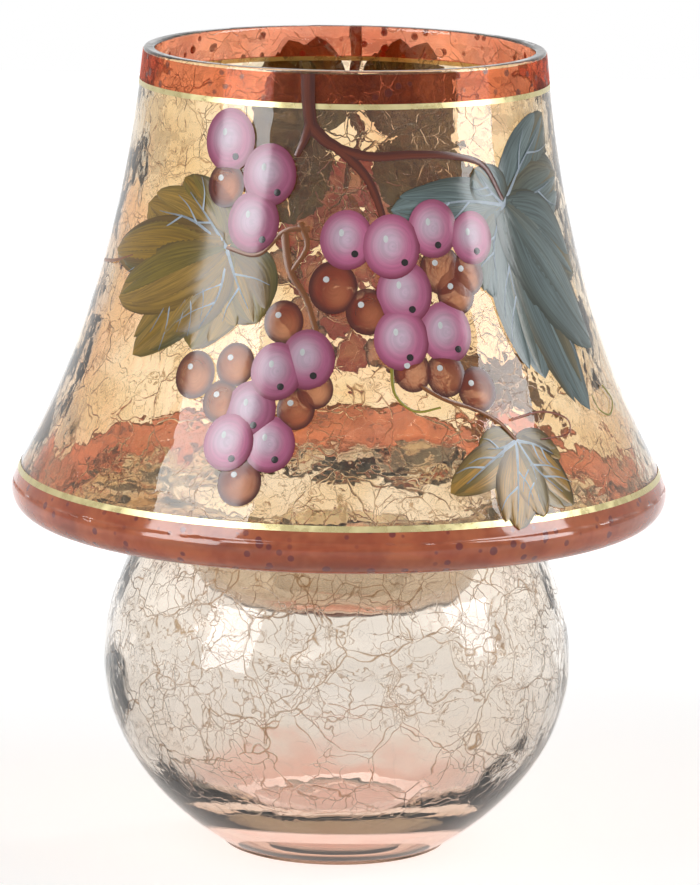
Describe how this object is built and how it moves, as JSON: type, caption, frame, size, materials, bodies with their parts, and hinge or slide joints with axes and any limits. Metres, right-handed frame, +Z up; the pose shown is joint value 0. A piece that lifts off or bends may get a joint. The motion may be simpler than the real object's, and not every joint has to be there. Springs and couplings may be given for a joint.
{
  "type": "tea light holder",
  "caption": "Blown glass tea light holder: a ball-shaped base carries a flared shade whose sunken dish holds a tea light; shade and tea light lift off.",
  "frame": {"origin": "centre of the underside of the globe's foot, on the table", "axes": "+Z up the holder's common axis, towards the shade's rim; +X to the right and -Y to the viewer of the picture"},
  "size_m": [0.1636, 0.1636, 0.2009],
  "materials": {
    "globe_glass": "clear crackled glass, champagne above and rose pink below",
    "shade_glass": "amber crackled glass with painted vine, gold lines and orange hem",
    "cup_aluminium": "bright pressed sheet",
    "wax": "satin wax",
    "sustainer_steel": "tinned sheet",
    "wick_cotton": "waxed cotton"
  },
  "bodies": {
    "globe": {"globe_base": "globe_glass"},
    "shade": {"shade": "shade_glass"},
    "tealight": {"tealight_cup": "cup_aluminium", "tealight_wax": "wax", "wick_sustainer": "sustainer_steel", "wick": "wick_cotton"}
  },
  "joints": [
    {"name": "shade_lift", "type": "slide", "parent": "globe", "child": "shade", "axis": [0, 0, 1], "range_m": [0, 0.08]},
    {"name": "tealight_lift", "type": "slide", "parent": "shade", "child": "tealight", "axis": [0, 0, 1], "range_m": [0, 0.15]}
  ]
}
